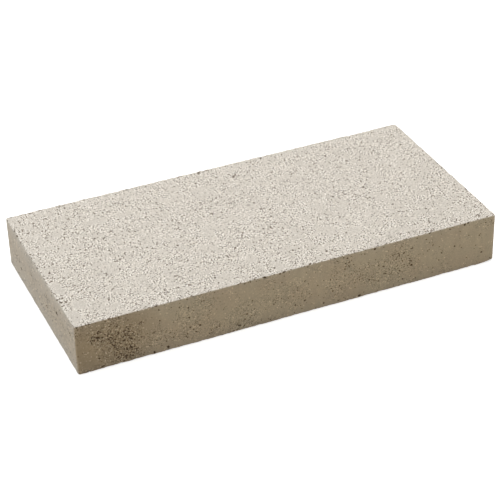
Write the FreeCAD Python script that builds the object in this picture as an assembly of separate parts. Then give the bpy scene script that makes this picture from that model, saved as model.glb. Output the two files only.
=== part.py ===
"""Flat wall coping stone: one dry-cast concrete slab with rounded upright corners and eased arrises.

X runs along the wall, Y across it and Z up. The origin is the middle of the bed face, which is
the flat underside that lies on the wall. All sizes are in millimetres.
"""

import FreeCAD, Part
import os

# Driving dimensions
LENGTH = 490.0  # along the wall, a 500 mm module less one mortar joint
WIDTH = 235.0  # across the wall, overhanging both of its faces
THICKNESS = 60.0  # from the bed face to the weathering face
CORNER_RADIUS = 2.5  # upright corners, as the corners of the mould are
TOP_ARRIS = 0.8  # rounding along the edge of the weathering face, left crisp
BED_ARRIS = 1.5  # rounding along the edge of the bed face, worn blunter

# Quarter turns of the plan, as the signs of X and Y in each quadrant, anticlockwise
QUADRANTS = [(1, 1), (-1, 1), (-1, -1), (1, -1)]
QUARTER_TURN = 90.0

UP = FreeCAD.Vector(0, 0, 1)


def upright_corners():
    """The four quarter-round corners of the plan, anticlockwise from the one at +X +Y."""
    reach_x = LENGTH / 2 - CORNER_RADIUS
    reach_y = WIDTH / 2 - CORNER_RADIUS
    corners = []
    for index, (sign_x, sign_y) in enumerate(QUADRANTS):
        centre = FreeCAD.Vector(sign_x * reach_x, sign_y * reach_y, 0)
        start_angle = index * QUARTER_TURN
        corners.append(Part.makeCircle(CORNER_RADIUS, centre, UP, start_angle, start_angle + QUARTER_TURN))
    return corners


def plan_outline():
    """Closed outline of the slab seen from above: four straight sides between the round corners."""
    corners = upright_corners()
    outline = []
    for corner, next_corner in zip(corners, corners[1:] + corners[:1]):
        side_start = corner.valueAt(corner.LastParameter)
        side_end = next_corner.valueAt(next_corner.FirstParameter)
        outline.append(corner)
        outline.append(Part.makeLine(side_start, side_end))
    return Part.Wire(outline)


def edges_at_height(solid, height):
    """Every edge of the solid that lies wholly in the level plane at that height."""
    tolerance = 1e-6
    return [
        edge
        for edge in solid.Edges
        if abs(edge.BoundBox.ZMin - height) < tolerance and abs(edge.BoundBox.ZMax - height) < tolerance
    ]


def coping_stone():
    """The slab: its plan carried up through the thickness, then both level rims rounded."""
    slab = Part.Face(plan_outline()).extrude(UP * THICKNESS)
    slab = slab.makeFillet(TOP_ARRIS, edges_at_height(slab, THICKNESS))
    slab = slab.makeFillet(BED_ARRIS, edges_at_height(slab, 0.0))
    return slab


os.makedirs("parts", exist_ok=True)
stone = coping_stone()
stone.exportStep("parts/coping_stone.step")
box = stone.optimalBoundingBox()
print(f"coping_stone: {box.XLength:.1f} x {box.YLength:.1f} x {box.ZLength:.1f} mm, {stone.Volume / 1e6:.3f} litres")
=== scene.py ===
# %% [markdown]
# # Dressing a cast coping stone
# The stone is a flat slab of dry-cast concrete that caps a garden wall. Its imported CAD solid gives
# the true size and place. This lesson gives that solid the skin of real concrete: an open, sandy
# weathering face, smooth mould-cast sides with patches of small voids, and slightly crumbled arrises.
# Every length below is in metres, as in the frame, with MM to write small sizes plainly.

# %% Load the frame
import math

import bpy
import numpy as np
from mathutils import Matrix, Vector


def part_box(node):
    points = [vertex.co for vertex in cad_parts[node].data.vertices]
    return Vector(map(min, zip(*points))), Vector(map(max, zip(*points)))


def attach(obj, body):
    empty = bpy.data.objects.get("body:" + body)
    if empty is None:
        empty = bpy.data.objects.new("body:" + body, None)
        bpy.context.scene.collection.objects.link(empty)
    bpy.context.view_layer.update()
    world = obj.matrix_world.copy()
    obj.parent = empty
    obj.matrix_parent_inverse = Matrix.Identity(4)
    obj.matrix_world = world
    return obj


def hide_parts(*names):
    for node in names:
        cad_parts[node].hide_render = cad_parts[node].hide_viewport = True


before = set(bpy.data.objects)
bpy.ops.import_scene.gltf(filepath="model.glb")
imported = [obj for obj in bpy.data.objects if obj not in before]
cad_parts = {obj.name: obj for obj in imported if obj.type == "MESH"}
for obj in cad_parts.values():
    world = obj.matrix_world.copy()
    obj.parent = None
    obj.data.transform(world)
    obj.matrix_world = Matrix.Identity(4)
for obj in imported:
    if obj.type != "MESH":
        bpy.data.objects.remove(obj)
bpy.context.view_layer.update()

MM = 0.001
low_corner, high_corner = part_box("coping_stone")
length, width, thickness = high_corner - low_corner
print(f"slab {length / MM:.1f} x {width / MM:.1f} x {thickness / MM:.1f} mm")

# %% [markdown]
# ## The camera
# The picture was taken with a long lens, a little above the stone and from its left. Three angles and
# one distance about a point near the slab's middle say the same as a full matrix, and they are easier
# to read and to correct. The focal length is kept in pixels, because that is how it was measured.

# %% Camera
PICTURE_SIDE = 500  # pixels, the picture is square
FOCAL_PIXELS = 1681
SENSOR_WIDTH = 36.0  # millimetres, as the camera's own settings use
AZIMUTH = math.radians(-22.99)
ELEVATION = math.radians(32.74)
ROLL = math.radians(-1.72)
CAMERA_DISTANCE = 1.8573
AIM_POINT = Vector((-0.0090, -0.0205, 0.0300))


def camera_axes(azimuth, elevation, roll):
    """The camera's right, up and backward directions: a level turn, a tilt down, then a roll."""
    across = Vector((math.cos(azimuth), math.sin(azimuth), 0))
    backward = Vector((
        math.sin(azimuth) * math.cos(elevation),
        -math.cos(azimuth) * math.cos(elevation),
        math.sin(elevation),
    ))
    upward = backward.cross(across)
    right = across * math.cos(roll) + upward * math.sin(roll)
    up = upward * math.cos(roll) - across * math.sin(roll)
    return right, up, backward


right, up, backward = camera_axes(AZIMUTH, ELEVATION, ROLL)
lens = bpy.data.cameras.new("photo_camera")
lens.sensor_width = SENSOR_WIDTH
lens.lens = FOCAL_PIXELS / PICTURE_SIDE * SENSOR_WIDTH
camera = bpy.data.objects.new("photo_camera", lens)
turn = Matrix((right, up, backward)).transposed().to_4x4()
camera.matrix_world = Matrix.Translation(AIM_POINT + backward * CAMERA_DISTANCE) @ turn
bpy.context.scene.collection.objects.link(camera)
bpy.context.scene.camera = camera
print(f"lens {lens.lens:.1f} mm at {CAMERA_DISTANCE:.2f} m")

# %% [markdown]
# ## Studio light
# The photo is a product shot on white: a broad soft light from above and a little behind, a weaker one
# on the left end, and a front side that gets only what the floor, the room and a warm card give back.
# Small lamps would be simpler, but they would cast hard shadows. Large area lights make the soft shade,
# and the world adds the room. All strengths are chosen so that a colour renders about as it is written.

# %% View and world
scene = bpy.context.scene
scene.view_settings.view_transform = "Standard"
ROOM_LIGHT = (0.30, 0.30, 0.30, 1.0)
WHITE = (1.0, 1.0, 1.0, 1.0)


def add_node(tree, kind, sockets=None, **settings):
    """Adds one node. A socket gets a link where its value is another node's output, else the value."""
    made = tree.nodes.new(kind)
    for name, value in settings.items():
        setattr(made, name, value)
    for name, value in (sockets or {}).items():
        if isinstance(value, bpy.types.NodeSocket):
            tree.links.new(value, made.inputs[name])
        else:
            made.inputs[name].default_value = value
    return made


def seen_directly(tree):
    """1 for light that goes straight to the lens, or by gloss or glass, and 0 for all other light."""
    path = add_node(tree, "ShaderNodeLightPath").outputs
    seen = path["Is Camera Ray"]
    for kind in ("Is Glossy Ray", "Is Transmission Ray"):
        seen = add_node(tree, "ShaderNodeMath", {0: seen, 1: path[kind]}, operation="MAXIMUM").outputs[0]
    return seen


def make_world():
    """A white backdrop to the lens, and an even dim room to everything else."""
    world = bpy.data.worlds.new("studio")
    world.use_nodes = True
    tree = world.node_tree
    tree.nodes.clear()
    room = add_node(tree, "ShaderNodeBackground", {"Color": ROOM_LIGHT})
    backdrop = add_node(tree, "ShaderNodeBackground", {"Color": WHITE})
    either = add_node(tree, "ShaderNodeMixShader", {
        0: seen_directly(tree), 1: room.outputs[0], 2: backdrop.outputs[0]})
    add_node(tree, "ShaderNodeOutputWorld", {"Surface": either.outputs[0]})
    return world


scene.world = make_world()
print("room light", ROOM_LIGHT[:3])

# %% Soft lights
LIGHTS = {
    # name: (place, width, depth, watts, colour), each aimed at the slab
    "overhead_softbox": ((0.15, 0.55, 2.3), 2.0, 2.0, 44.5, (1.0, 0.99, 0.975)),
    "left_softbox": ((-2.2, 0.6, 0.9), 1.4, 1.4, 14.2, (0.94, 0.98, 1.0)),
    "right_card": ((1.1, -1.0, 0.5), 0.6, 0.6, 1.6, (1.0, 0.92, 0.80)),
}
SLAB_MIDDLE = Vector((0, 0, thickness / 2))


def add_softbox(name, place, across, along, watts, colour):
    """A rectangular area light at a place, turned to face the middle of the slab."""
    lamp = bpy.data.lights.new(name, "AREA")
    lamp.shape = "RECTANGLE"
    lamp.size, lamp.size_y = across, along
    lamp.energy = watts
    lamp.color = colour
    holder = bpy.data.objects.new(name, lamp)
    holder.location = place
    holder.rotation_euler = (SLAB_MIDDLE - Vector(place)).to_track_quat("-Z", "Y").to_euler()
    scene.collection.objects.link(holder)


for lamp_name, settings in LIGHTS.items():
    add_softbox(lamp_name, *settings)
print(len(LIGHTS), "soft lights")

# %% [markdown]
# ## The floor
# A pale floor carries the contact shadow and throws light back on the sides. To the lens it is white.
# To the stone it is a warm board, which adds to the brown tone of the shaded long side. More light would
# whiten the floor too, but it would bleach the stone with it.

# %% Floor
FLOOR_REACH = 6.0
FLOOR_GAP = 0.05 * MM  # keeps the floor from sharing the bed's plane
FLOOR_TO_STONE = (0.61, 0.55, 0.46, 1.0)
FLOOR_TO_LENS = (0.80, 0.80, 0.80, 1.0)
FLOOR_LIFT = 0.70  # light added for the lens alone, so that the open floor reaches white


def floor_material():
    """White with the stone's shadow for the lens, a warm matt board for the light that it throws back."""
    material = bpy.data.materials.new("studio_floor")
    material.use_nodes = True
    tree = material.node_tree
    tree.nodes.clear()
    board = add_node(tree, "ShaderNodeBsdfDiffuse", {"Color": FLOOR_TO_STONE})
    paper = add_node(tree, "ShaderNodeBsdfDiffuse", {"Color": FLOOR_TO_LENS})
    lift = add_node(tree, "ShaderNodeEmission", {"Color": WHITE, "Strength": FLOOR_LIFT})
    bright = add_node(tree, "ShaderNodeAddShader", {0: paper.outputs[0], 1: lift.outputs[0]})
    either = add_node(tree, "ShaderNodeMixShader", {
        0: seen_directly(tree), 1: board.outputs[0], 2: bright.outputs[0]})
    add_node(tree, "ShaderNodeOutputMaterial", {"Surface": either.outputs[0]})
    return material


corner_signs = np.array([(-1, -1), (1, -1), (1, 1), (-1, 1)])
floor_points = np.column_stack((corner_signs * FLOOR_REACH, np.full(len(corner_signs), -FLOOR_GAP)))
floor_mesh = bpy.data.meshes.new("studio_floor")
floor_mesh.from_pydata(floor_points.tolist(), [], [(0, 1, 2, 3)])
floor_mesh.materials.append(floor_material())
floor = bpy.data.objects.new("studio_floor", floor_mesh)
scene.collection.objects.link(floor)
print(f"floor {2 * FLOOR_REACH:.0f} m square")

# %% [markdown]
# ## The slab as one closed surface
# The cast skin needs fine relief all over, so the slab is laid out as one net of points: a grid for the
# weathering face, a grid for the bed, and a band round the four sides that shares the rims of both.
# A subdivided cube would give the same net, but then the spacing along the edges couldn't be chosen.
# Here close lines run beside each edge, where the arrises need them, and even ones lie between.

# %% Grid lines
GRID_SPACING = 0.8 * MM
EDGE_LINES = np.array([0.0, 0.4, 0.8, 1.5, 2.5]) * MM  # distances of the close lines from an edge


def grid_lines(low, high):
    """Positions from low to high: the close edge lines at both ends and an even division between them."""
    inner_low, inner_high = low + EDGE_LINES[-1], high - EDGE_LINES[-1]
    parts = round((inner_high - inner_low) / GRID_SPACING)
    middle = np.linspace(inner_low, inner_high, parts + 1)
    return np.concatenate((low + EDGE_LINES[:-1], middle, (high - EDGE_LINES[:-1])[::-1]))


lines_x = grid_lines(low_corner.x, high_corner.x)
lines_y = grid_lines(low_corner.y, high_corner.y)
lines_z = grid_lines(low_corner.z, high_corner.z)
print(f"grid lines {len(lines_x)} x {len(lines_y)} x {len(lines_z)}")


# %% Net of points and faces
def rim_steps(count_x, count_y):
    """Row and column of each rim point of a grid, once round anticlockwise from its lowest corner."""
    last_x, last_y = count_x - 1, count_y - 1
    along_x, along_y = np.arange(last_x), np.arange(last_y)
    row = np.concatenate((along_x, np.full(last_y, last_x), last_x - along_x, np.zeros(last_y, int)))
    column = np.concatenate((np.zeros(last_x, int), along_y, np.full(last_x, last_y), last_y - along_y))
    return row, column


def quads(net):
    """Four corners of every cell of an index net, in the order row, next row, both next, next column."""
    return np.stack((net[:-1, :-1], net[1:, :-1], net[1:, 1:], net[:-1, 1:]), axis=-1).reshape(-1, 4)


def box_net():
    """Points and outward faces of the sharp box: two level grids, and a band from rim to rim."""
    flat_x, flat_y = np.meshgrid(lines_x, lines_y, indexing="ij")
    level = flat_x.size
    bed = np.column_stack((flat_x.ravel(), flat_y.ravel(), np.full(level, lines_z[0])))
    top = np.column_stack((flat_x.ravel(), flat_y.ravel(), np.full(level, lines_z[-1])))
    row, column = rim_steps(len(lines_x), len(lines_y))
    rounds, band_levels = len(row), lines_z[1:-1]
    band_x = np.tile(lines_x[row], len(band_levels))
    band_y = np.tile(lines_y[column], len(band_levels))
    band = np.column_stack((band_x, band_y, np.repeat(band_levels, rounds)))
    grid = np.arange(level).reshape(flat_x.shape)
    rim = grid[row, column]
    rows = np.vstack((rim, 2 * level + np.arange(len(band)).reshape(-1, rounds), rim + level))
    closed = np.column_stack((rows, rows[:, :1]))
    faces = np.vstack((quads(grid)[:, ::-1], quads(grid + level), quads(closed.T)))
    return np.vstack((bed, top, band)), faces


box_points, faces = box_net()
print(f"net of {len(box_points)} points and {len(faces)} faces")

# %% [markdown]
# ## Rounding the corners and arrises
# The mould leaves upright corners of small radius, a crisp arris round the weathering face and a
# blunter one round the bed. A Bevel modifier could round them, but it would upset the even net. So a
# square zone over each edge is drawn in to a quarter disc: a point keeps its direction from the zone's
# inner corner, and its greater part becomes its distance. The same step gives the outward direction
# at each point, which the relief needs later.

# %% Rounded slab
CORNER_RADIUS = 2.5 * MM
TOP_ARRIS = 0.8 * MM
BED_ARRIS = 1.5 * MM
TINY = 1e-12  # stands in for a length of 0 where something is divided by it


def rounded_slab(points):
    """Box points moved to the rounded slab, and the outward direction at each.

    In plan, d is the step from the shrunken rectangle, and the point goes to it + d max|d| / |d|.
    In section, the same rule joins the inset from the outline to the height into the arris.
    """
    half = np.array([length, width]) / 2 - CORNER_RADIUS
    inner = np.clip(points[:, :2], -half, half)
    step = points[:, :2] - inner
    span = np.abs(step).max(axis=1)
    reach = np.maximum(np.linalg.norm(step, axis=1), TINY)
    outward = step / reach[:, None]
    plan = inner + outward * span[:, None]
    into_top = np.maximum(TOP_ARRIS - (high_corner.z - points[:, 2]), 0)
    into_bed = np.maximum(BED_ARRIS - (points[:, 2] - low_corner.z), 0)
    rise = into_top - into_bed
    radius = np.where(rise >= 0, TOP_ARRIS, BED_ARRIS)
    inset = np.maximum(radius - (CORNER_RADIUS - span), 0)
    slant = np.maximum(np.hypot(inset, rise), TINY)
    pull = 1 - np.maximum(inset, np.abs(rise)) / slant
    plan = plan - outward * (inset * pull)[:, None]
    height = points[:, 2] - rise * pull
    normal = np.column_stack((outward * (inset / slant)[:, None], rise / slant))
    return np.column_stack((plan, height)), normal


slab_points, slab_normals = rounded_slab(box_points)
print("normals from", slab_normals.min(axis=0).round(2), "to", slab_normals.max(axis=0).round(2))

# %% [markdown]
# ## Chance that repeats
# Concrete is random, but the same stone must come out of every run. A seeded generator would do that
# too, but its draws would change with the number of points. A hash gives each small cell of space its
# own fixed random number, so nothing depends on the mesh. Smooth noise eases between the numbers at
# the eight corners of a cell.

# %% Hashed cells and smooth noise
AXIS_PRIMES = np.array([73856093, 19349663, 83492791], dtype=np.uint32)
SALT_STEP = 2654435761
MIX_ROUNDS = [(15, 739982445), (12, 695872825)]  # bits to shift by, and the odd number to multiply by
LAST_SHIFT = np.uint32(15)
WORD = 2 ** 32
CELL_CORNERS = np.array([(i, j, k) for i in (0, 1) for j in (0, 1) for k in (0, 1)])
LAYER_SHARES = 0.5 ** np.arange(3)
BROAD_SIZE = 45 * MM


def cell_keys(cells):
    """One whole number for each cell of space: its three steps, each times a large prime, added up."""
    return (cells.astype(np.uint32) * AXIS_PRIMES).sum(axis=1, dtype=np.uint32)


def hashed(keys, salt):
    """A random number from 0 to 1 for each key: the salt is added, then shifts and products mix the bits."""
    bits = keys + np.uint32(salt * SALT_STEP % WORD)
    for shift, factor in MIX_ROUNDS:
        bits = (bits ^ (bits >> np.uint32(shift))) * np.uint32(factor)
    return (bits ^ (bits >> LAST_SHIFT)) * np.float32(1 / WORD)


def eased(part):
    """The cubic ease 3t^2 - 2t^3 of a share t from 0 to 1."""
    return part * part * (3 - 2 * part)


def smooth_noise(points, size, salt):
    """From -1 to 1: random values at the corners of cells of that size, blended by the cubic ease."""
    scaled = points / size
    base = np.floor(scaled)
    part = eased(scaled - base)
    keys = cell_keys(base.astype(np.int64))
    blend = np.zeros(len(points))
    for corner in CELL_CORNERS:
        weight = np.where(corner == 1, part, 1 - part).prod(axis=1)
        blend += weight * hashed(keys + cell_keys(corner[None]), salt)
    return 2 * blend - 1


def layered_noise(points, size, salt):
    """Smooth noise added over layers, each half the size and half the weight of the one before."""
    layers = [share * smooth_noise(points, size * share, salt + n) for n, share in enumerate(LAYER_SHARES)]
    return sum(layers) / LAYER_SHARES.sum()


broad_wave = layered_noise(slab_points, BROAD_SIZE, salt=90)
print(f"broad noise from {broad_wave.min():.2f} to {broad_wave.max():.2f}")

# %% [markdown]
# ## Voids cut open by the surface
# The pits of dry-cast concrete are air voids and gaps between grains that the mould or the screed cuts
# through. Balls could be cut out with Boolean modifiers, but thousands of them would take too long. So
# round voids are scattered through space, and where one crosses the skin, the skin drops to the far
# wall of the void. One formula then gives open pits on a face and bites where a void meets an arris.

# %% Sliced voids
RADIUS_LEAN = 2  # power of the random draw, by which the radii lean to the small end


def void_drop(away, normals, radius):
    """How far the skin drops in a round void: h + sqrt(r^2 - s^2) inside the radius r, and 0 outside.

    h is how far the point lies above the void's centre along the normal, and s how far aside of it.
    """
    above = (away * normals).sum(axis=1)
    aside = (away ** 2).sum(axis=1) - above ** 2
    drop = above + np.sqrt(np.maximum(radius ** 2 - aside, 0))
    return np.where(aside + above ** 2 < radius ** 2, drop, 0)


def sliced_voids(points, normals, cell, radii, chance, salt):
    """Depth of the skin in round voids of random place and radius, at most one to a cell of space."""
    depth = np.zeros(len(points))
    smallest, largest = radii
    base = np.floor(points / cell - 0.5).astype(np.int64)
    for corner in CELL_CORNERS:
        cells = base + corner
        keys = cell_keys(cells)
        jitter = np.column_stack([hashed(keys, salt + axis) for axis in range(3)])
        radius = smallest + (largest - smallest) * hashed(keys, salt + 3) ** RADIUS_LEAN
        drop = void_drop(points - (cells + jitter) * cell, normals, radius)
        depth = np.maximum(depth, np.where(hashed(keys, salt + 4) < chance, drop, 0))
    return depth


print(f"voids are looked for in the {len(CELL_CORNERS)} cells nearest to each point")

# %% [markdown]
# ## Where the skin is open
# The weathering face was struck off and is open nearly all over, with smears of paste between. The
# sides touched the mould and are closed, apart from patches where the fine paste didn't reach: a dense
# one low on the front near its left end, and a few thin ones. They could be painted on by hand. A field
# that says how likely a void is keeps the voids random and puts only the patches where they belong.

# %% Patches of open skin
FRONT_PATCHES = [
    # centre along the front and up it, half length and half height, and how open the skin is
    ((-0.191, 0.014), (0.020, 0.015), 1.00),
    ((-0.197, 0.033), (0.017, 0.012), 0.95),
    ((-0.220, 0.041), (0.017, 0.011), 0.80),
    ((-0.200, 0.030), (0.038, 0.026), 0.36),
    ((-0.123, 0.036), (0.018, 0.018), 0.30),
    ((-0.060, 0.022), (0.022, 0.014), 0.26),
    ((-0.005, 0.030), (0.030, 0.018), 0.24),
    ((0.120, 0.020), (0.050, 0.018), 0.20),
]
END_PATCHES = [
    # the same along the left end, where they are short and thin
    ((0.079, 0.028), (0.010, 0.004), 0.60),
    ((0.023, 0.031), (0.009, 0.003), 0.55),
    ((0.021, 0.042), (0.005, 0.002), 0.55),
    ((-0.020, 0.026), (0.006, 0.002), 0.70),
    ((-0.038, 0.038), (0.005, 0.002), 0.70),
    ((-0.056, 0.040), (0.006, 0.002), 1.00),
    ((-0.074, 0.038), (0.006, 0.003), 0.95),
    ((-0.100, 0.042), (0.005, 0.002), 0.95),
]
SIDE_OPENNESS = 0.36
THIN_SIZE = 26 * MM
THIN_MIDDLE, THIN_SWING = 0.2, 2.4
THIN_SHARES = (0.20, 1.2)  # least and greatest share of the sides' openness that the noise gives
PATCH_REACH = 1.1  # where a patch ends, in half sizes
PATCH_RAGGED, PATCH_RAGGED_SIZE = 0.45, 12 * MM
EDGE_SLOPE = 2.5  # how steeply a patch or a spot ends


def ragged_ellipse(points, axes, centre, halves, reach, ragged):
    """1 inside an ellipse on a face and 0 outside: slope x (reach + noise - distance), held to 0 and 1."""
    across, along = ((points[:, axes] - centre) / halves).T
    return np.clip((reach + ragged - np.hypot(across, along)) * EDGE_SLOPE, 0, 1)


def at_low_side(points, axis):
    """True for the points within a corner's radius of the side that lies lowest on that axis."""
    return points[:, axis] < low_corner[axis] + CORNER_RADIUS


def porous_patches(points):
    """How open the closed skin is: thin noise everywhere, raised inside the patches of two sides.

    The front runs along x at the low side of y, and the left end runs along y at the low side of x.
    """
    thin = THIN_MIDDLE + THIN_SWING * layered_noise(points, THIN_SIZE, salt=41)
    raised = SIDE_OPENNESS * np.clip(thin, *THIN_SHARES)
    ragged = PATCH_RAGGED * layered_noise(points, PATCH_RAGGED_SIZE, salt=42)
    for axis, patches in enumerate((FRONT_PATCHES, END_PATCHES)):
        on_side = at_low_side(points, 1 - axis)
        for centre, halves, share in patches:
            inside = ragged_ellipse(points, [axis, 2], centre, halves, PATCH_REACH, ragged)
            raised = np.maximum(raised, on_side * share * inside)
    return raised


porous = porous_patches(slab_points)
print(f"porous skin from {porous.min():.2f} to {porous.max():.2f}")

# %% Spots of closed paste
PASTE_SPOTS = [
    # centre x and y on the weathering face, half length and half width of spots that paste closed
    ((-0.2367, -0.046), (0.005, 0.011)),
    ((-0.2375, -0.098), (0.006, 0.010)),
    ((-0.2260, -0.081), (0.007, 0.008)),
]
SPOT_REACH = 1.15
SPOT_RAGGED, SPOT_RAGGED_SIZE = 0.35, 6 * MM


def closed_paste(points):
    """1 inside each spot of smooth paste on the weathering face, falling to 0 over its ragged edge."""
    closed = np.zeros(len(points))
    ragged = SPOT_RAGGED * layered_noise(points, SPOT_RAGGED_SIZE, salt=44)
    for centre, halves in PASTE_SPOTS:
        closed = np.maximum(closed, ragged_ellipse(points, [0, 1], centre, halves, SPOT_REACH, ragged))
    return closed


paste = closed_paste(slab_points)
print(len(PASTE_SPOTS), "spots of closed paste")

# %% Openness of each point
ON_TOP = 0.4  # a point with more of the upward direction than this belongs to the weathering face
BED_FACING = -0.5
SMEAR_SIZE = 11 * MM
TOP_OPENNESS, SMEAR_SWING = 0.30, 0.10
BED_OPENNESS = 0.25  # the bed is pressed on a board, so few of its voids stay open
top_share = np.clip(slab_normals[:, 2], 0, 1) ** 2
on_top = top_share > ON_TOP
is_bed = slab_normals[:, 2] < BED_FACING
smear = smooth_noise(slab_points, SMEAR_SIZE, salt=40)
top_openness = (TOP_OPENNESS + SMEAR_SWING * smear) * (1 - paste)
openness = np.where(on_top, top_openness, porous * np.where(is_bed, BED_OPENNESS, 1))
print(f"mean openness of the top {openness[on_top].mean():.2f}")

# %% [markdown]
# ## The pits
# Some larger voids stand out on the stone, and each of those is placed by itself. The rest are drawn
# by chance in layers, large ones in large cells and small ones in small cells, because a single layer
# would look too even. Where a patch is very open, two more layers make it a honeycomb. Real voids
# aren't balls, so the places are warped a little before the voids are cut.

# %% Single pits
SINGLE_PITS = np.array([
    # x, y, z and radius in millimetres of the larger voids, each close under the skin
    (-240.3, -18.7, 59.8, 1.2), (-238.2, -26.1, 59.8, 1.0), (-169.9, 32.4, 59.8, 1.3),
    (-235.4, -10.5, 59.8, 1.0), (-243.3, -75.1, 59.5, 1.1), (-244.6, 87.0, 59.8, 1.7),
    (-145.9, -117.0, 4.6, 1.2), (-121.0, -117.0, 46.7, 1.2), (-121.0, -117.0, 34.0, 1.0),
    (-127.0, -117.0, 23.0, 0.9), (-244.6, 70.9, 19.4, 1.7), (-244.6, -55.7, 39.7, 1.6),
    (-244.6, -58.5, 40.2, 1.4), (-244.6, -74.0, 38.2, 1.5), (-244.6, -76.5, 37.0, 1.4),
    (-244.6, -100.4, 42.0, 1.5), (-244.6, -20.1, 26.4, 1.4),
]) * MM
WARP = 0.70 * MM
WARP_SIZE = 1.8 * MM


def single_voids(points, normals, voids):
    """The same drop of the skin, for voids that are placed one by one."""
    depth = np.zeros(len(points))
    for *centre, radius in voids:
        depth = np.maximum(depth, void_drop(points - centre, normals, radius))
    return depth


warp = np.column_stack([smooth_noise(slab_points, WARP_SIZE, salt=50 + axis) for axis in range(3)])
warped_points = slab_points + WARP * warp
pit_depth = single_voids(warped_points, slab_normals, SINGLE_PITS)
print(f"{len(SINGLE_PITS)} single pits up to {pit_depth.max() / MM:.1f} mm deep")

# %% Pits
DEEPEST_PIT = 1.2 * MM
SEEN_DEPTH = 0.3 * MM  # a shallower hollow isn't counted as a pit
LARGE_ON_TOP = 0.5  # share of the openness that goes to large voids on the weathering face
LARGE_ON_SIDES, MOST_LARGE_ON_SIDES = 0.8, 0.25  # fewer on the closed sides
SMALL_SHARE = 0.6
HONEYCOMB_FROM = 0.35  # openness of a side above which its skin is a honeycomb
large_on_sides = np.clip(LARGE_ON_SIDES * porous, 0, MOST_LARGE_ON_SIDES)
large_share = np.where(on_top, LARGE_ON_TOP, large_on_sides)
honeycomb = np.clip(porous - HONEYCOMB_FROM, 0, 1) * ~on_top
pit_layers = [
    # cell, smallest and largest radius, how likely a void is at each point, and the salt
    (3.0 * MM, (0.55 * MM, 1.25 * MM), openness * large_share, 60),
    (2.0 * MM, (0.45 * MM, 0.95 * MM), openness * SMALL_SHARE, 70),
    (3.6 * MM, (0.80 * MM, 1.45 * MM), honeycomb, 120),
    (2.4 * MM, (0.55 * MM, 1.05 * MM), honeycomb, 130),
]
for cell, radii, chance, salt in pit_layers:
    pit_depth = np.maximum(pit_depth, sliced_voids(warped_points, slab_normals, cell, radii, chance, salt))
pit_depth = np.minimum(pit_depth, DEEPEST_PIT)
print(f"{(pit_depth > SEEN_DEPTH).mean():.1%} of the points lie in pits")

# %% [markdown]
# ## Wear
# Arrises crumble, voids under them break out, and corners chip when a stone is set down hard. A bevel
# with noise would wear every arris alike. Here crumbling is noise that works only close to an arris.
# Bites are more voids, likelier there than elsewhere. A chip is a plane that cuts a corner off: whatever
# stands beyond the plane is pushed back on to it, and noise in the plane's depth makes the break rough.

# %% Crumbled arrises
CRUMB_REACH = 1.6 * MM
CRUMB_DEPTH = 0.75 * MM
CRUMB_SIZE = 7 * MM
CRUMB_MIDDLE = 0.25


def edge_nearness(points, reach):
    """1 on the sharp rim lines of the top and bed, fading as exp(-(distance / reach)^2)."""
    beyond = np.abs(points[:, :2]) - np.array([length, width]) / 2
    from_outline = -beyond.max(axis=1)
    from_level = np.minimum(high_corner.z - points[:, 2], points[:, 2] - low_corner.z)
    return np.exp(-(from_outline ** 2 + from_level ** 2) / reach ** 2)


crumb = np.clip(CRUMB_MIDDLE + layered_noise(slab_points, CRUMB_SIZE, salt=80), 0, 1)
crumb_depth = CRUMB_DEPTH * crumb * edge_nearness(box_points, CRUMB_REACH)
print(f"arrises crumbled by up to {crumb_depth.max() / MM:.2f} mm")

# %% Bites along the arrises
BITE_REACH = 2.2 * MM
BITE_CHANCE = 0.95
BED_BITES = 0.5  # the arris of the bed is blunter and loses less
BITE_ZONE_SIZE = 26 * MM
BITE_ZONE_MIDDLE, BITE_ZONE_SWING = 0.55, 1.4
BITE_CELL = 3.8 * MM
BITE_RADII = (0.90 * MM, 2.00 * MM)
bite_zone = BITE_ZONE_MIDDLE + BITE_ZONE_SWING * layered_noise(slab_points, BITE_ZONE_SIZE, salt=82)
bite_chance = BITE_CHANCE * np.clip(bite_zone, 0, 1) * edge_nearness(box_points, BITE_REACH)
bite_chance = bite_chance * np.where(box_points[:, 2] < thickness / 2, BED_BITES, 1)
bites = sliced_voids(warped_points, slab_normals, BITE_CELL, BITE_RADII, bite_chance, salt=140)
pit_depth = np.maximum(pit_depth, np.minimum(bites, DEEPEST_PIT))
print(f"{(bites > SEEN_DEPTH).sum()} points bitten out of the arrises")

# %% Relief of the skin
UNDULATION = 0.12 * MM
GRAIN_RELIEF = 0.24 * MM
GRAIN_RELIEF_SIZE = 2.2 * MM
SIDE_GRAIN_RELIEF = 0.15  # share of the grain's relief that the mould leaves on the sides


def sunken(wave):
    """Noise from -1 to 1 moved to lie from -1 to 0, so that relief never stands proud of the mould."""
    return (wave - 1) / 2


grain = GRAIN_RELIEF * sunken(smooth_noise(slab_points, GRAIN_RELIEF_SIZE, salt=95))
grain = grain * (SIDE_GRAIN_RELIEF + (1 - SIDE_GRAIN_RELIEF) * top_share)
relief = np.where(is_bed, 0, UNDULATION * sunken(broad_wave) + grain) - pit_depth - crumb_depth
stone_points = slab_points + slab_normals * relief[:, None]
print(f"relief from {relief.min() / MM:.2f} to {relief.max() / MM:.2f} mm")

# %% Chipped corners
BREAK_ROUGHNESS = 0.35 * MM
BREAK_SIZE = 4 * MM
CHIPS = [
    # corner, outward direction of the break and how far the corner is cut back
    ((-1, -1, -1), (-0.45, -0.60, -0.66), 0.2 * MM),
    ((1, -1, -1), (0.16, -0.30, -0.94), 2.9 * MM),
    ((-1, 1, -1), (-0.6, 0.4, -0.7), 2.0 * MM),
    ((1, 1, -1), (0.5, 0.6, -0.62), 1.8 * MM),
]
break_noise = layered_noise(slab_points, BREAK_SIZE, salt=100)


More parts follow.
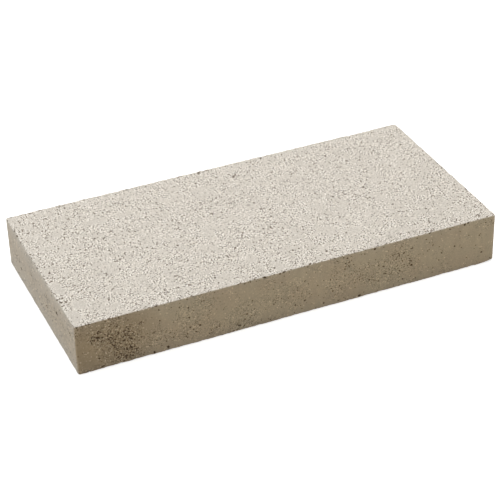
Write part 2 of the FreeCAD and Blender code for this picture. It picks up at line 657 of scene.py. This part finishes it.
def chipped(points, corner, direction, depth):
    """Points beyond a plane are pushed back on to it: p - n max(0, p.n - d), with d roughened by noise."""
    tip = np.where(np.array(corner) > 0, high_corner, low_corner)
    facing = np.array(direction) / np.linalg.norm(direction)
    over = (points - tip) @ facing + depth + BREAK_ROUGHNESS * break_noise
    return points - np.maximum(over, 0)[:, None] * facing


for corner, direction, depth in CHIPS:
    stone_points = chipped(stone_points, corner, direction, depth)
stone_points = np.clip(stone_points, low_corner, high_corner)
print(len(CHIPS), "chipped corners")

# %% [markdown]
# ## Masks for the finish
# Some of the finish follows the stone's shape: a brown tone on the long sides, partly their own and partly
# the warm shade of the shaded front painted in; a darker left end of the front; light painted along the
# upper and lower arris of each side; and the depth of each pit, which sets its painted shade. A painted
# map could hold them. Numbers kept at the points of the mesh need no picture, and they stay on the right
# face when the stone is turned.

# %% Masks of film, damp and bloom
DARK_FROM, DARK_TO = -0.150, -0.188  # along the front, where the darker end begins and is full
END_DARK_FROM, END_DARK_TO = 0.030, -0.110  # the same along the left end, which takes much less of it
END_DARK_SHARE = 0.22
DARK_RAGGED, DARK_RAGGED_SIZE = 14 * MM, 22 * MM
ARRIS_LIGHT_REACH = 11 * MM  # how far the painted light along an arris reaches over a side
BACK_FILM_AND_SHADE = 0.6  # the back, which is lit, takes less of the brown than the shaded front


def darker_front_end(points):
    """1 at the left end of the front side, a small share round the corner, and 0 along the rest.

    Each part is eased between two places by 3t^2 - 2t^3, after noise has broken the line of it.
    """
    ragged = DARK_RAGGED * layered_noise(points, DARK_RAGGED_SIZE, salt=110)
    along_front = np.clip((points[:, 0] + ragged - DARK_FROM) / (DARK_TO - DARK_FROM), 0, 1)
    along_end = np.clip((points[:, 1] + ragged - END_DARK_FROM) / (END_DARK_TO - END_DARK_FROM), 0, 1)
    on_end = END_DARK_SHARE * eased(along_end) * at_low_side(points, 0)
    return np.where(at_low_side(points, 1), eased(along_front), on_end)


def painted_arris_light(points):
    """Painted light: 1 at the upper and lower arris of a side, falling off as exp(-distance / reach)."""
    from_arris = np.minimum(high_corner.z - points[:, 2], points[:, 2] - low_corner.z)
    return np.exp(-from_arris / ARRIS_LIGHT_REACH)


def long_side_film_and_shade(normals):
    """1 on the front, a share on the back and 0 on the ends: the square of the normal's part across."""
    return normals[:, 1] ** 2 * np.where(normals[:, 1] > 0, BACK_FILM_AND_SHADE, 1)


skin_masks = {
    "weathering_face": top_share,
    "hollow": np.clip(pit_depth / MM, 0, 1),
    "porous": porous,
    "long_side": long_side_film_and_shade(slab_normals),
    "darker_end": darker_front_end(slab_points),
    "painted_arris_light": painted_arris_light(slab_points),
    "closed_paste": paste,
}
print(len(skin_masks), "masks for the finish")

# %% [markdown]
# ## From net to mesh
# The net goes into a mesh as whole arrays, with the masks as attributes of its points. Much of the net
# is nearly flat. A coarser net would lose the pits, so the fine one is kept and the Decimate modifier
# then spends the triangles where the pits are. Its result is applied.

# %% Dense mesh
FACE_CORNERS = 4


def mesh_from_net(name, points, corners):
    """A mesh with these points and four-cornered faces, put in as whole arrays."""
    mesh = bpy.data.meshes.new(name)
    mesh.vertices.add(len(points))
    mesh.vertices.foreach_set("co", points.astype(np.float32).ravel())
    mesh.loops.add(corners.size)
    mesh.loops.foreach_set("vertex_index", corners.astype(np.int32).ravel())
    mesh.polygons.add(len(corners))
    mesh.polygons.foreach_set("loop_start", np.arange(0, corners.size, FACE_CORNERS, dtype=np.int32))
    mesh.update(calc_edges=True)
    return mesh


def add_point_value(mesh, name, values):
    """Keeps one number for each point under a name that the material can read."""
    layer = mesh.attributes.new(name, "FLOAT", "POINT")
    layer.data.foreach_set("value", values.astype(np.float32))


stone_mesh = mesh_from_net("coping_stone_cast", stone_points, faces)
for mask_name, mask in skin_masks.items():
    add_point_value(stone_mesh, mask_name, mask)
stone = bpy.data.objects.new("coping_stone_cast", stone_mesh)
scene.collection.objects.link(stone)
print(f"{2 * len(faces)} triangles before thinning")

# %% Thinned mesh
MOST_TRIANGLES = 192_000
thin = stone.modifiers.new("thin", "DECIMATE")
thin.ratio = MOST_TRIANGLES / (2 * len(faces))
thin.use_collapse_triangulate = True
graph = bpy.context.evaluated_depsgraph_get()
thinned_mesh = bpy.data.meshes.new_from_object(stone.evaluated_get(graph))
stone.modifiers.clear()
stone.data = thinned_mesh
bpy.data.meshes.remove(stone_mesh)
thinned_mesh.name = "coping_stone_cast"
thinned_mesh.shade_smooth()
print(f"{len(thinned_mesh.polygons)} triangles after thinning")

# %% [markdown]
# ## Folded slivers
# Thinning folds a few narrow triangles over at the steep walls of pits, and they would show as dark
# nicks. They could be deleted, but that would leave holes. Moving their corners to the mean of the
# points next to them keeps the mesh closed and leaves only a few that still face inward.

# %% Settled folds
BOX_FACES = [(axis, side) for axis in range(3) for side in (0, 1)]
FOLDED = -0.1  # a triangle that faces this far inward has been folded over by the thinning
SETTLING_ROUNDS = 20


def mesh_arrays(mesh):
    """Points, corner numbers of the triangles and end numbers of the edges, as arrays."""
    points = np.empty(len(mesh.vertices) * 3, np.float32)
    mesh.vertices.foreach_get("co", points)
    corners = np.empty(len(mesh.polygons) * 3, np.int32)
    mesh.loops.foreach_get("vertex_index", corners)
    ends = np.empty(len(mesh.edges) * 2, np.int32)
    mesh.edges.foreach_get("vertices", ends)
    return points.reshape(-1, 3).astype(float), corners.reshape(-1, 3), ends.reshape(-1, 2)


def nearest_box_face(middles):
    """Number of the box face whose plane lies nearest to each place, in the order of BOX_FACES."""
    planes = np.array([low_corner, high_corner])
    distances = [np.abs(middles[:, axis] - planes[side, axis]) for axis, side in BOX_FACES]
    return np.column_stack(distances).argmin(axis=1)


def folded_triangles(points, corners):
    """Triangles that face inward, measured against the outward direction of the nearest box face."""
    triangles = points[corners]
    normals = np.cross(triangles[:, 1] - triangles[:, 0], triangles[:, 2] - triangles[:, 0])
    axis, side = np.array(BOX_FACES)[nearest_box_face(triangles.mean(axis=1))].T
    outward = normals[np.arange(len(normals)), axis] * (2 * side - 1)
    return outward < FOLDED * np.maximum(np.linalg.norm(normals, axis=1), TINY)


def settle_folds(mesh):
    """The corners of folded triangles go to the mean of the points next to them, a few times over."""
    points, corners, ends = mesh_arrays(mesh)
    start, end = np.vstack((ends, ends[:, ::-1])).T
    neighbours = np.bincount(start, minlength=len(points))[:, None]
    before = folded_triangles(points, corners).sum()
    for _ in range(SETTLING_ROUNDS):
        loose = np.unique(corners[folded_triangles(points, corners)])
        sums = [np.bincount(start, weights=points[end, axis], minlength=len(points)) for axis in range(3)]
        points[loose] = (np.column_stack(sums) / neighbours)[loose]
    mesh.vertices.foreach_set("co", points.astype(np.float32).ravel())
    mesh.update()
    return before, folded_triangles(points, corners).sum()


print("folded slivers before and after settling", settle_folds(thinned_mesh))

# %% [markdown]
# ## A flat map for baking
# A stone has no natural seams, so its map is simply its six faces laid out on a sheet: the weathering
# face, the two long sides, the two ends in one row, and the bed at half height because it is seen least.
# Smart UV Project would cut thousands of islands out of the pits. Here each triangle goes to the face
# whose plane is nearest to its middle.

# %% Map of six faces
SHEET_GAP = 6 * MM
BED_SHARE = 0.5


def face_sheets():
    """The two map directions of each box face and its place on the sheet, and the sheet's size.

    The rows are stacked with a gap between them, and the list is in the order of BOX_FACES.
    """
    x, y, z = np.eye(3)
    row_heights = np.array([0, width, thickness, thickness, thickness]) + SHEET_GAP
    top_row, front_row, back_row, end_row, bed_row = np.cumsum(row_heights)
    second_end = SHEET_GAP + width + SHEET_GAP
    sheets = [
        (-y, z, (SHEET_GAP, end_row)),
        (y, z, (second_end, end_row)),
        (x, z, (SHEET_GAP, front_row)),
        (-x, z, (SHEET_GAP, back_row)),
        (x, y * BED_SHARE, (SHEET_GAP, bed_row)),
        (x, y, (SHEET_GAP, top_row)),
    ]
    return sheets, bed_row + width * BED_SHARE + SHEET_GAP


def map_six_faces(mesh):
    """Flat map: each triangle's corners are measured along the two directions of its nearest box face."""
    points, corners, _ = mesh_arrays(mesh)
    triangles = points[corners]
    nearest = nearest_box_face(triangles.mean(axis=1))
    sheets, sheet_size = face_sheets()
    box = np.array([low_corner, high_corner])
    flat = np.zeros((len(triangles), 3, 2))
    for number, (across, along, start) in enumerate(sheets):
        chosen = nearest == number
        for part, direction in enumerate((across, along)):
            lowest = (box * direction).min(axis=0).sum()
            flat[chosen, :, part] = (triangles[chosen] @ direction - lowest + start[part]) / sheet_size
    layer = mesh.uv_layers.new(name="OFBake")
    layer.data.foreach_set("uv", flat.astype(np.float32).ravel())
    return np.bincount(nearest, minlength=len(sheets))


print("triangles on each face", map_six_faces(thinned_mesh))

# %% [markdown]
# ## The concrete
# Cast concrete is cement paste with sand in it. On the open weathering face each grain has its own tone,
# and the gaps between the grains are dark with painted shade. On the mould-cast sides the paste closes
# over the sand, so they are smoother and a little darker, with soft blotches and stray specks. The long
# sides are also browner, partly in their own tone and partly with the warm shade of the front painted in.
# A picture could be wrapped round the stone, but it would stretch at the edges. Noise and cells on Object
# coordinates run unbroken round the corners, and the masks say where each finish belongs.

# %% Coordinates and masks
concrete = bpy.data.materials.new("concrete")
concrete.use_nodes = True
tree = concrete.node_tree
tree.nodes.clear()
place = add_node(tree, "ShaderNodeTexCoord").outputs["Object"]


def point_value(name):
    """A number kept on the mesh's points."""
    return add_node(tree, "ShaderNodeAttribute", attribute_name=name).outputs["Fac"]


open_skin, hollow = point_value("weathering_face"), point_value("hollow")
porous_skin, long_side, darker_end = point_value("porous"), point_value("long_side"), point_value("darker_end")
arris_light, smooth_paste = point_value("painted_arris_light"), point_value("closed_paste")
print(len(tree.nodes) - 1, "masks read from the mesh")


# %% Sums and stretches
def math_node(operation, first, second):
    """One sum on two numbers or outputs."""
    return add_node(tree, "ShaderNodeMath", {0: first, 1: second}, operation=operation).outputs[0]


def total(first, *others):
    """All parts added up."""
    for other in others:
        first = math_node("ADD", first, other)
    return first


def product(first, *others):
    """All parts multiplied."""
    for other in others:
        first = math_node("MULTIPLY", first, other)
    return first


def difference(first, second):
    """The first less the second."""
    return math_node("SUBTRACT", first, second)


def weighted(value, weight, middle=0.5):
    """How far a value is from its middle, times a weight."""
    return product(difference(value, middle), weight)


def ranged(value, low, high, to_low=0.0, to_high=1.0):
    """A value's stretch from low to high, eased on to another stretch and held outside it."""
    return add_node(tree, "ShaderNodeMapRange", {
        "Value": value, "From Min": low, "From Max": high, "To Min": to_low, "To Max": to_high,
    }, interpolation_type="SMOOTHSTEP").outputs[0]


def between(value, at_zero, at_one):
    """Eases from one number to another as a value goes from 0 to 1."""
    return ranged(value, 0.0, 1.0, at_zero, at_one)


def by_face(on_sides, on_weathering_face):
    """One number on the sides and another on the weathering face."""
    return add_node(tree, "ShaderNodeMix", {0: open_skin, 2: on_sides, 3: on_weathering_face}).outputs[0]


print("sums and stretches ready")


# %% Patterns
def shifted(vector, step):
    """The same places read a step away, so that two patterns don't lie on each other."""
    return add_node(tree, "ShaderNodeVectorMath", {0: vector, 1: step}).outputs[0]


def stretched(vector, factors):
    """The places times three factors: a pattern read there is longer where a factor is below 1."""
    return add_node(tree, "ShaderNodeVectorMath", {0: vector, 1: factors}, operation="MULTIPLY").outputs[0]


def noise(vector, size, detail=2.0, roughness=0.5):
    """Smooth noise from 0 to 1 with features of about that size."""
    return add_node(tree, "ShaderNodeTexNoise", {
        "Vector": vector, "Scale": 1 / size, "Detail": detail, "Roughness": roughness}).outputs["Fac"]


def random_cells(vector, size, scatter=1.0):
    """Random cells of that size: the distance to a cell's middle, and three random numbers of the cell."""
    made = add_node(tree, "ShaderNodeTexVoronoi", {
        "Vector": vector, "Scale": 1 / size, "Randomness": scatter}).outputs
    return made["Distance"], add_node(tree, "ShaderNodeSeparateColor", {0: made["Color"]}).outputs


print("patterns ready")

# %% [markdown]
# ## Sand and the gaps in it
# The screed leaves the sand of the weathering face bare, but a film of paste smears over some of it.
# Instances of real grains would need millions of faces. Random cells give each grain its tone, fine
# noise cut off at a level gives the gaps, painted dark as shade, with lips painted pale as highlights, and
# broad noise says how bare the grains lie. In a named stretch the first two numbers are where it starts
# and ends, and the next two, if there are any, what it becomes there.

# %% Sand grains
GRAIN_SIZE = 1.15 * MM
STIR = 0.55 * MM  # how far the places of the grains are shoved about
STIR_SIZE = 2.6 * MM
GRAIN_RIM = (0.50, 0.82)  # distances from a grain's middle, in cells
BARENESS = (0.36, 0.56, 0.46, 1.12)
SPOT_BARENESS = 0.12  # what a spot of closed paste leaves of it
stir = add_node(tree, "ShaderNodeTexNoise", {"Vector": place, "Scale": 1 / STIR_SIZE, "Detail": 1.0})
stirred = add_node(tree, "ShaderNodeVectorMath", {
    0: stir.outputs["Color"], 1: (STIR, STIR, STIR), 2: place}, operation="MULTIPLY_ADD").outputs[0]
grain_distance, grain_chance = random_cells(stirred, GRAIN_SIZE)
grain_tone = grain_chance[0]
bareness = ranged(noise(place, SMEAR_SIZE), *BARENESS)
bareness = product(bareness, between(smooth_paste, 1.0, SPOT_BARENESS))
open_rims = product(ranged(grain_distance, *GRAIN_RIM), bareness)
print(f"grains of {GRAIN_SIZE / MM:.2f} mm")

# %% Gaps between the grains
GAP_SIZE = 1.5 * MM
FULLY_BARE = 1.10
BARE_DROP = -0.18  # how far bareness lowers the noise, so that bare sand has more gaps
GAP_EDGE = (0.378, 0.312)
SIDE_GAPS = (0.07, 0.46, 0.03, 0.76)  # share of the gaps that a side shows, by its openness
LIP_INNER, LIP_OUTER = (0.41, 0.45), (0.56, 0.48)
PALE_EDGE = (0.575, 0.645)
PALE_WHERE_BARE = (0.55, 1.05, 0.45, 1.0)
sand_noise = noise(stirred, GAP_SIZE, detail=0.0)
sunk = total(sand_noise, weighted(bareness, BARE_DROP, FULLY_BARE))
gap_share = math_node("MAXIMUM", open_skin, ranged(porous_skin, *SIDE_GAPS))
grain_gaps = product(ranged(sunk, *GAP_EDGE), gap_share)
# Painted highlight: the lips of the gaps are made paler, as if they caught the light.
lip_highlights = product(ranged(sunk, *LIP_INNER), ranged(sunk, *LIP_OUTER))
pale_grains = product(ranged(sand_noise, *PALE_EDGE), ranged(bareness, *PALE_WHERE_BARE))
print(f"gaps about {GAP_SIZE / MM:.1f} mm apart")

# %% [markdown]
# ## Pits and specks
# Many pits are under a millimetre wide, and some grains are nearly white. Both are too small for the
# mesh, so each is a round spot in a random cell of the material, and a pit's spot is painted dark as
# its shade. The cell's first random number draws the radius, the second decides whether there is a spot
# at all, and fine noise frays its outline.

# %% Small pits
PIT_CELL = 1.85 * MM
SCATTER = 0.85  # below 1, neighbouring spots keep more even distances
FINE_SIZE, FINE_SHIFT = 1.2 * MM, (0.3, 0.3, 0.3)
FRAY = 0.35  # share of a cell by which fine noise frays the outline of a spot
PIT_RADII = (0.24, 0.50)  # in cells, as the edges are
PIT_GROWTH = (0.5, 1.0, 0.0, 0.07)  # added to the radius where the skin is very open
PIT_EDGE, RIM_EDGE = (0.03, -0.05), (0.40, 0.06)
PIT_SHADES = (0.80, 1.0)
TOP_PITS = 0.17
SIDE_PITS, LEAST_SIDE_PITS = 0.85, 0.06
END_PITS = 0.35  # share of the sides' pits that the ends have
fine = noise(shifted(place, FINE_SHIFT), FINE_SIZE, detail=0.0)
fray = weighted(fine, FRAY)
pit_distance, pit_chance = random_cells(stirred, PIT_CELL, SCATTER)
pit_radius = total(between(pit_chance[0], *PIT_RADII), fray, ranged(porous_skin, *PIT_GROWTH))
beyond_pit = difference(pit_distance, pit_radius)
in_pit = ranged(beyond_pit, *PIT_EDGE)
side_pits = total(product(porous_skin, porous_skin, SIDE_PITS), LEAST_SIDE_PITS)
side_pits = product(side_pits, between(long_side, END_PITS, 1.0))
pitted = math_node("LESS_THAN", pit_chance[1], by_face(side_pits, product(bareness, TOP_PITS)))
small_pits = product(in_pit, pitted)
shaded_pits = product(small_pits, between(pit_chance[2], *PIT_SHADES))
# Painted highlight: a pale ring round each small pit, as if its rim caught the light.
rim_highlights = product(difference(ranged(beyond_pit, *RIM_EDGE), in_pit), pitted)
print(f"pits in cells of {PIT_CELL / MM:.2f} mm")

# %% Pale specks
SPECK_CELL, SPECK_SHIFT = 1.75 * MM, (0.37, 0.11, 0.53)
SPOT_RADII, SPOT_EDGE = (0.26, 0.50), (0.04, -0.06)
SIDE_SPECKS = (0.0, 0.7, 0.04, 0.36)
TOP_SPECKS = 0.52
speck_distance, speck_chance = random_cells(shifted(stirred, SPECK_SHIFT), SPECK_CELL, SCATTER)
speck_radius = difference(between(speck_chance[0], *SPOT_RADII), fray)
in_speck = ranged(difference(speck_distance, speck_radius), *SPOT_EDGE)
speck_share = by_face(ranged(porous_skin, *SIDE_SPECKS), product(bareness, TOP_SPECKS))
pale_specks = product(in_speck, math_node("LESS_THAN", speck_chance[1], speck_share))
print(f"pale specks in cells of {SPECK_CELL / MM:.2f} mm")

# %% [markdown]
# ## Marks of the ramming
# The damp mix is rammed into its mould in layers, which leaves small level marks on the ends, and the
# mould leaves faint upright streaks on the long sides when it is drawn off. Each could be drawn as a
# pattern of its own. The same noise and cells do for both, read at places that are stretched first.

# %% Level marks and streaks
LEVEL_MARK, LEVEL_STRETCH = 1.9 * MM, (0.55, 0.55, 1.0)
STREAK, STREAK_STRETCH = 7 * MM, (1.0, 1.0, 0.28)
DARK_BELOW, DARK_MARK = 0.09, -0.72  # which cells hold a dark mark, and its tone
PALE_ABOVE, PALE_MARK = 0.92, 0.48
level_places = stretched(place, LEVEL_STRETCH)
layers = noise(level_places, LEVEL_MARK)
streaks = noise(stretched(place, STREAK_STRETCH), STREAK)
mark_distance, mark_chance = random_cells(level_places, LEVEL_MARK)
mark_radius = total(between(mark_chance[0], *SPOT_RADII), fray)
in_mark = ranged(difference(mark_distance, mark_radius), *SPOT_EDGE)
dark_mark = product(math_node("LESS_THAN", mark_chance[1], DARK_BELOW), DARK_MARK)
pale_mark = product(math_node("GREATER_THAN", mark_chance[1], PALE_ABOVE), PALE_MARK)
end_marks = product(in_mark, total(dark_mark, pale_mark), between(long_side, 1.0, 0.0))
print(f"level marks in cells {LEVEL_MARK / MM:.1f} mm high")

# %% [markdown]
# ## Tones and colours
# A tone of about 1 makes the paste lighter or darker, and every pattern adds its share to it. Mixing a
# colour for each pattern would work too, but the hue of the paste would drift. Only these are mixed in as
# colours: stains, the darker left end of the front, light painted along the arrises, pale grains, and the
# dark of the pits, which is painted shade.

# %% Tone of the weathering face
TOP_BASE = 0.94
TOP_GRAIN, TOP_FINE, TOP_CLOUD = 0.10, 0.10, 0.06
# The second and third weights below are painted highlights on the rims of pits and the lips of gaps.
TOP_SPECK, TOP_RIM_HIGHLIGHT, TOP_LIP_HIGHLIGHT = 0.10, 0.14, 0.15
# The last weight below darkens the sunken edges of the bare grains: painted shade.
TOP_BARE, TOP_GRAIN_RIM_SHADE = 0.09, -0.14
CLOUD_SIZE, CLOUD_SHIFT = 70 * MM, (0.7, 0.7, 0.7)
cloud = noise(shifted(place, CLOUD_SHIFT), CLOUD_SIZE, detail=3.0)
top_grain = product(total(weighted(grain_tone, TOP_GRAIN), weighted(fine, TOP_FINE)), bareness)
top_marks = total(product(pale_specks, TOP_SPECK), product(rim_highlights, TOP_RIM_HIGHLIGHT), product(lip_highlights, TOP_LIP_HIGHLIGHT))
top_broad = total(weighted(cloud, TOP_CLOUD), weighted(bareness, TOP_BARE, FULLY_BARE))
top_tone = total(top_grain, top_marks, top_broad, product(open_rims, TOP_GRAIN_RIM_SHADE), TOP_BASE)
print(f"weathering face about a tone of {TOP_BASE:.2f}")

# %% Tone of the sides
SIDE_BASE = 1.01
SIDE_FINE, SIDE_GRAIN_TONE = 0.72, 0.45
PALE_SIDE_SHARE = 0.55  # on the sides the paste dulls the pale grains more than the dark ones
SIDE_GRAIN_SHOWS = (0.05, 0.32, 0.34, 1.35)  # how much of the grain shows, by the side's openness
END_GRAIN_SHOWS = 0.64
SIDE_RIM_HIGHLIGHTS = (0.3, 1.0, 0.08, 0.32)
LAYER_TONE, STREAK_TONE = 0.34, 0.20
BLOTCH_SIZE, BLOTCH_SHIFT = 20 * MM, (1.1, 1.1, 1.1)
BLOTCH_TONE, SIDE_CLOUD = 0.28, 0.08
blotch = noise(shifted(place, BLOTCH_SHIFT), BLOTCH_SIZE, detail=5.0, roughness=0.62)
side_grain = total(weighted(fine, SIDE_FINE), weighted(grain_tone, SIDE_GRAIN_TONE))
side_grain = math_node("MINIMUM", side_grain, product(side_grain, PALE_SIDE_SHARE))
side_grain = product(side_grain, ranged(porous_skin, *SIDE_GRAIN_SHOWS))
side_grain = product(side_grain, between(long_side, END_GRAIN_SHOWS, 1.0))
layer_tone = weighted(layers, between(long_side, LAYER_TONE, 0.0))
streak_tone = weighted(streaks, between(long_side, 0.0, STREAK_TONE))
side_marks = total(product(rim_highlights, ranged(porous_skin, *SIDE_RIM_HIGHLIGHTS)), layer_tone, streak_tone, end_marks)
side_broad = total(weighted(blotch, BLOTCH_TONE), weighted(cloud, SIDE_CLOUD))
side_tone = total(side_grain, side_marks, side_broad, SIDE_BASE)
print(f"sides about a tone of {SIDE_BASE:.2f}")

# %% Colours
TOP_PASTE = (0.687, 0.636, 0.564, 1.0)
END_PASTE = (0.510, 0.458, 0.387, 1.0)
SHADED_LONG_SIDE_PASTE = (0.542, 0.468, 0.341, 1.0)
SIDE_STAIN = (0.53, 0.43, 0.31, 1.0)
DARK_END_PASTE = (0.432, 0.347, 0.234, 1.0)
ARRIS_LIGHT_COLOUR = (0.64, 0.61, 0.56, 1.0)
# The dark colour below is painted shade, put into the pits and the gaps between the grains.
PAINTED_PIT_SHADE = (0.085, 0.052, 0.022, 1.0)
PALE_GRAIN = (0.96, 0.92, 0.86, 1.0)
SIDE_GRAIN = (0.86, 0.755, 0.575, 1.0)
STAIN_SIZE, STAIN_SHIFT = 38 * MM, (2.3, 2.3, 2.3)
STAIN_EDGE, END_STAIN = (0.42, 0.66, 0.0, 0.5), 0.15
ARRIS_LIGHT_SHARES = (0.55, 0.12)  # on the ends and on the long sides
SIDE_SPECK_COVER, PALE_GRAIN_COVER = 0.75, 0.95
HOLLOW_SHADE = (0.10, 0.52, 0.0, 0.94)


def mixed(factor, first, second):
    """Two colours mixed by a factor: the first where it is 0 and the second where it is 1."""
    return add_node(tree, "ShaderNodeMix", {0: factor, 6: first, 7: second}, data_type="RGBA").outputs[2]


def toned(colour, tone):
    """A colour made lighter or darker by a tone about 1."""
    return add_node(tree, "ShaderNodeVectorMath", {0: colour, "Scale": tone}, operation="SCALE").outputs[0]


stain = ranged(noise(shifted(place, STAIN_SHIFT), STAIN_SIZE, detail=3.0), *STAIN_EDGE)
stain = product(stain, between(long_side, END_STAIN, 1.0))
# The long sides' browner paste is partly their own tone and partly painted shade, the warm shade of the
# shaded front.
side_paste = mixed(long_side, END_PASTE, SHADED_LONG_SIDE_PASTE)
# The front turns darker towards its left end, and a little of it reaches round the corner.
side_paste = mixed(darker_end, mixed(stain, side_paste, SIDE_STAIN), DARK_END_PASTE)
# Painted light: the sides turn paler towards their upper and lower arris.
side_paste = mixed(product(arris_light, between(long_side, *ARRIS_LIGHT_SHARES)), side_paste, ARRIS_LIGHT_COLOUR)
side_colour = mixed(product(pale_specks, SIDE_SPECK_COVER), toned(side_paste, side_tone), SIDE_GRAIN)
top_colour = mixed(product(pale_grains, PALE_GRAIN_COVER), toned(TOP_PASTE[:3], top_tone), PALE_GRAIN)
# Painted shade: deep pits of the mesh and the small pits and gaps of the material turn to the dark pit
# colour.
pit_shade = math_node("MAXIMUM", shaded_pits, grain_gaps)
pit_shade = math_node("MAXIMUM", ranged(hollow, *HOLLOW_SHADE), pit_shade)
skin_colour = mixed(pit_shade, mixed(open_skin, side_colour, top_colour), PAINTED_PIT_SHADE)
print("paste colours", TOP_PASTE[:3], END_PASTE[:3], SHADED_LONG_SIDE_PASTE[:3])

# %% [markdown]
# ## Relief too fine for the mesh, and the shader
# Single grains stand up from the paste by a tenth of a millimetre or so. As geometry they would need far
# more triangles than the stone may have, so they are bump, and so are the smallest pits. Concrete is
# matt all over. The mould leaves the sides a little smoother than the weathering face.

# %% Bump and shader
BUMP_HEIGHT, BUMP_STRENGTH = 0.5 * MM, 0.25
GRAIN_DOME = (0.0, 0.85, 0.45, 0.0)
FINE_HEIGHT = 0.35
SIDE_ROUGHNESS = (0.3, 0.7, 0.68, 0.84)
TOP_ROUGHNESS = 0.93
SPECULAR_LEVEL = 0.3
top_height = product(difference(ranged(grain_distance, *GRAIN_DOME), open_rims), open_skin)
height = total(top_height, product(fine, FINE_HEIGHT))
height = difference(height, math_node("MAXIMUM", small_pits, grain_gaps))
bump = add_node(tree, "ShaderNodeBump", {
    "Height": height, "Strength": BUMP_STRENGTH, "Distance": BUMP_HEIGHT})
shader = add_node(tree, "ShaderNodeBsdfPrincipled", {
    "Base Color": skin_colour, "Roughness": by_face(ranged(blotch, *SIDE_ROUGHNESS), TOP_ROUGHNESS),
    "Specular IOR Level": SPECULAR_LEVEL, "Normal": bump.outputs[0]})
add_node(tree, "ShaderNodeOutputMaterial", {"Surface": shader.outputs[0]})
thinned_mesh.materials.clear()
thinned_mesh.materials.append(concrete)
print(len(tree.nodes), "nodes in the concrete")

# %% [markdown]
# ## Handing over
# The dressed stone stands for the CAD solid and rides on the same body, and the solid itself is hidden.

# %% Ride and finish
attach(stone, "root")
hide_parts("coping_stone")
